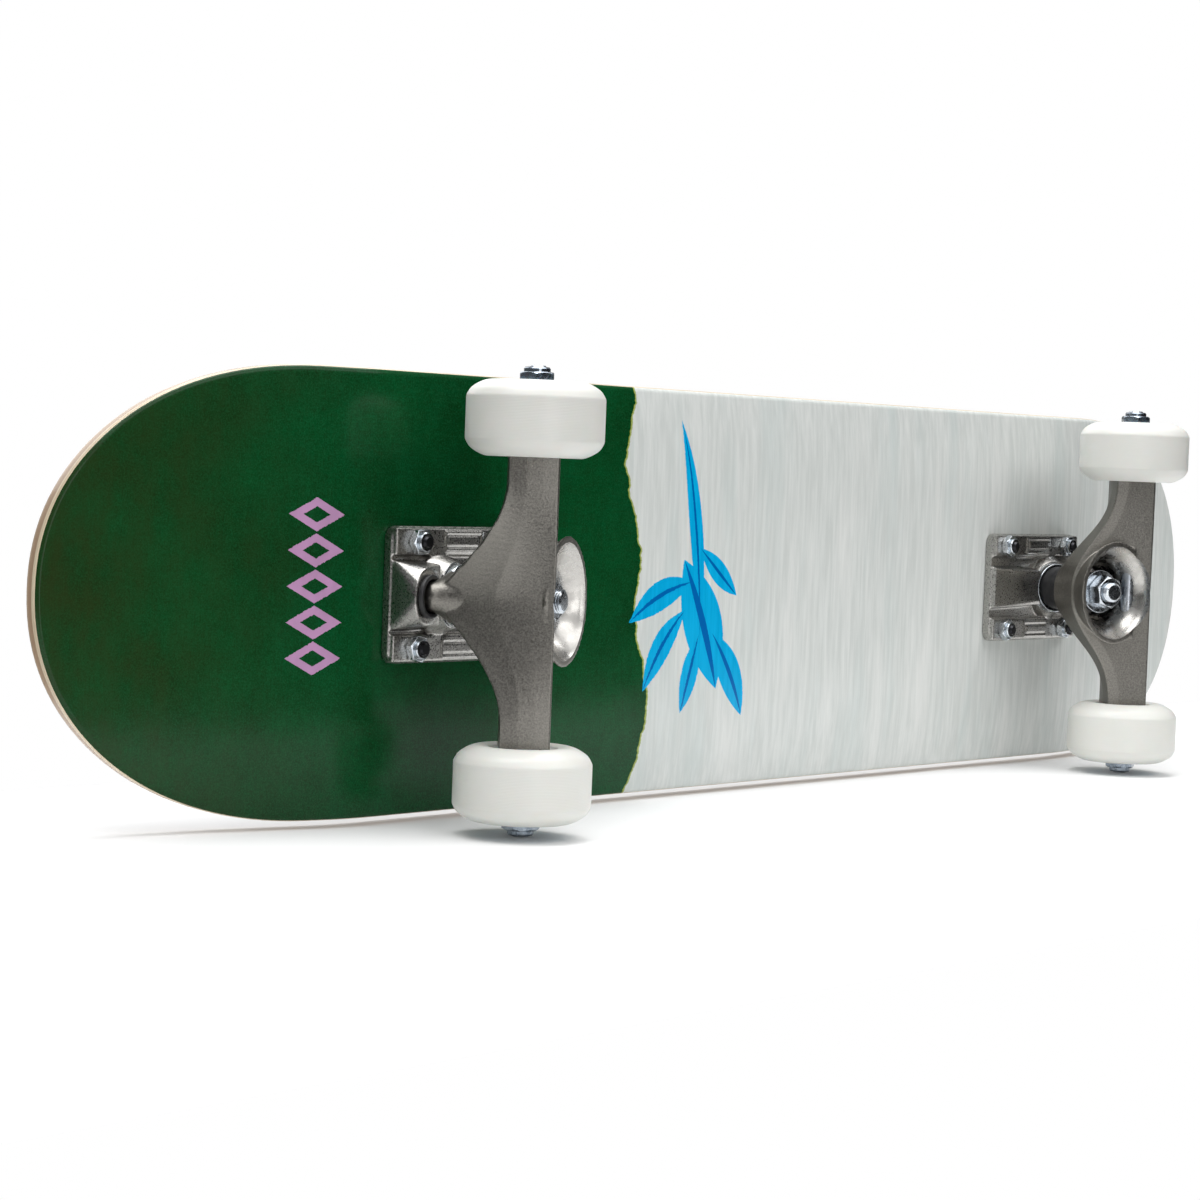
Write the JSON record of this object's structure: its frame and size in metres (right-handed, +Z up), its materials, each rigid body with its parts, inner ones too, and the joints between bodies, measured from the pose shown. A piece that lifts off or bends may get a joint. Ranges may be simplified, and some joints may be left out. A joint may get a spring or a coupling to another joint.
{
  "type": "skateboard",
  "caption": "Complete skateboard: laminated deck with kicked nose and tail, cast trucks that steer on sprung bushings, and wheels that spin on bearings.",
  "frame": {"origin": "floor level under the middle of the board, with the wheels resting at Z = 0", "axes": "+X along the deck towards the tail, the nose is at -X; +Y across the deck; +Z up through the standing surface"},
  "size_m": [0.7731, 0.1788, 0.138],
  "materials": {
    "deck": "glossy printed maple ply",
    "grip_tape": "coarse matte grit",
    "deck_bolt_front_1": "bright zinc plate",
    "deck_nut_front_1": "bright zinc plate",
    "deck_bolt_front_2": "bright zinc plate",
    "deck_nut_front_2": "bright zinc plate",
    "deck_bolt_front_3": "bright zinc plate",
    "deck_nut_front_3": "bright zinc plate",
    "deck_bolt_front_4": "bright zinc plate",
    "deck_nut_front_4": "bright zinc plate",
    "deck_bolt_rear_1": "bright zinc plate",
    "deck_nut_rear_1": "bright zinc plate",
    "deck_bolt_rear_2": "bright zinc plate",
    "deck_nut_rear_2": "bright zinc plate",
    "deck_bolt_rear_3": "bright zinc plate",
    "deck_nut_rear_3": "bright zinc plate",
    "deck_bolt_rear_4": "bright zinc plate",
    "deck_nut_rear_4": "bright zinc plate",
    "baseplate_front": "cast and tumbled",
    "pivot_cup_front": "satin",
    "kingpin_front": "bright zinc plate",
    "bottom_washer_front": "polished",
    "bottom_bushing_front": "satin urethane",
    "top_bushing_front": "satin urethane",
    "top_washer_front": "polished",
    "kingpin_nut_front": "bright zinc plate",
    "hanger_front": "satin cast",
    "axle_front": "plain",
    "wheel_front_right": "satin urethane",
    "outer_bearing_front_right": "polished",
    "inner_bearing_front_right": "polished",
    "speed_washer_front_right": "plain",
    "axle_nut_front_right": "bright zinc plate",
    "wheel_front_left": "satin urethane",
    "outer_bearing_front_left": "polished",
    "inner_bearing_front_left": "polished",
    "speed_washer_front_left": "plain",
    "axle_nut_front_left": "bright zinc plate",
    "baseplate_rear": "cast and tumbled",
    "pivot_cup_rear": "satin",
    "kingpin_rear": "bright zinc plate",
    "bottom_washer_rear": "polished",
    "bottom_bushing_rear": "satin urethane",
    "top_bushing_rear": "satin urethane",
    "top_washer_rear": "polished",
    "kingpin_nut_rear": "bright zinc plate",
    "hanger_rear": "satin cast",
    "axle_rear": "plain",
    "wheel_rear_right": "satin urethane",
    "outer_bearing_rear_right": "polished",
    "inner_bearing_rear_right": "polished",
    "speed_washer_rear_right": "plain",
    "axle_nut_rear_right": "bright zinc plate",
    "wheel_rear_left": "satin urethane",
    "outer_bearing_rear_left": "polished",
    "inner_bearing_rear_left": "polished",
    "speed_washer_rear_left": "plain",
    "axle_nut_rear_left": "bright zinc plate"
  },
  "bodies": {
    "board": {"deck": "deck", "grip_tape": "grip_tape", "deck_bolt_front_1": "deck_bolt_front_1", "deck_nut_front_1": "deck_nut_front_1", "deck_bolt_front_2": "deck_bolt_front_2", "deck_nut_front_2": "deck_nut_front_2", "deck_bolt_front_3": "deck_bolt_front_3", "deck_nut_front_3": "deck_nut_front_3", "deck_bolt_front_4": "deck_bolt_front_4", "deck_nut_front_4": "deck_nut_front_4", "deck_bolt_rear_1": "deck_bolt_rear_1", "deck_nut_rear_1": "deck_nut_rear_1", "deck_bolt_rear_2": "deck_bolt_rear_2", "deck_nut_rear_2": "deck_nut_rear_2", "deck_bolt_rear_3": "deck_bolt_rear_3", "deck_nut_rear_3": "deck_nut_rear_3", "deck_bolt_rear_4": "deck_bolt_rear_4", "deck_nut_rear_4": "deck_nut_rear_4", "baseplate_front": "baseplate_front", "pivot_cup_front": "pivot_cup_front", "kingpin_front": "kingpin_front", "bottom_washer_front": "bottom_washer_front", "bottom_bushing_front": "bottom_bushing_front", "top_bushing_front": "top_bushing_front", "top_washer_front": "top_washer_front", "kingpin_nut_front": "kingpin_nut_front", "baseplate_rear": "baseplate_rear", "pivot_cup_rear": "pivot_cup_rear", "kingpin_rear": "kingpin_rear", "bottom_washer_rear": "bottom_washer_rear", "bottom_bushing_rear": "bottom_bushing_rear", "top_bushing_rear": "top_bushing_rear", "top_washer_rear": "top_washer_rear", "kingpin_nut_rear": "kingpin_nut_rear"},
    "hanger_front": {"hanger_front": "hanger_front", "axle_front": "axle_front", "speed_washer_front_right": "speed_washer_front_right", "axle_nut_front_right": "axle_nut_front_right", "speed_washer_front_left": "speed_washer_front_left", "axle_nut_front_left": "axle_nut_front_left"},
    "wheel_front_left": {"wheel_front_left": "wheel_front_left", "outer_bearing_front_left": "outer_bearing_front_left", "inner_bearing_front_left": "inner_bearing_front_left"},
    "wheel_front_right": {"wheel_front_right": "wheel_front_right", "outer_bearing_front_right": "outer_bearing_front_right", "inner_bearing_front_right": "inner_bearing_front_right"},
    "hanger_rear": {"hanger_rear": "hanger_rear", "axle_rear": "axle_rear", "speed_washer_rear_right": "speed_washer_rear_right", "axle_nut_rear_right": "axle_nut_rear_right", "speed_washer_rear_left": "speed_washer_rear_left", "axle_nut_rear_left": "axle_nut_rear_left"},
    "wheel_rear_left": {"wheel_rear_left": "wheel_rear_left", "outer_bearing_rear_left": "outer_bearing_rear_left", "inner_bearing_rear_left": "inner_bearing_rear_left"},
    "wheel_rear_right": {"wheel_rear_right": "wheel_rear_right", "outer_bearing_rear_right": "outer_bearing_rear_right", "inner_bearing_rear_right": "inner_bearing_rear_right"}
  },
  "joints": [
    {"name": "front_truck_steer", "type": "hinge", "parent": "board", "child": "hanger_front", "pos_m": [-0.21358, 0, 0.04907], "axis": [-0.891, 0, 0.454], "range_deg": [-13, 13], "stiffness_Nm_per_rad": 60, "deforming": ["bottom_bushing_front", "top_bushing_front"]},
    {"name": "front_left_wheel_spin", "type": "hinge", "parent": "hanger_front", "child": "wheel_front_left", "pos_m": [-0.22245, -0.0692, 0.0265], "axis": [0, 1, 0], "continuous": true},
    {"name": "front_right_wheel_spin", "type": "hinge", "parent": "hanger_front", "child": "wheel_front_right", "pos_m": [-0.22245, 0.0692, 0.0265], "axis": [0, 1, 0], "continuous": true},
    {"name": "rear_truck_steer", "type": "hinge", "parent": "board", "child": "hanger_rear", "pos_m": [0.21358, 0, 0.04907], "axis": [-0.891, 0, -0.454], "range_deg": [-13, 13], "stiffness_Nm_per_rad": 60, "deforming": ["bottom_bushing_rear", "top_bushing_rear"]},
    {"name": "rear_left_wheel_spin", "type": "hinge", "parent": "hanger_rear", "child": "wheel_rear_left", "pos_m": [0.22245, 0.0692, 0.0265], "axis": [0, 1, 0], "continuous": true},
    {"name": "rear_right_wheel_spin", "type": "hinge", "parent": "hanger_rear", "child": "wheel_rear_right", "pos_m": [0.22245, -0.0692, 0.0265], "axis": [0, 1, 0], "continuous": true}
  ]
}
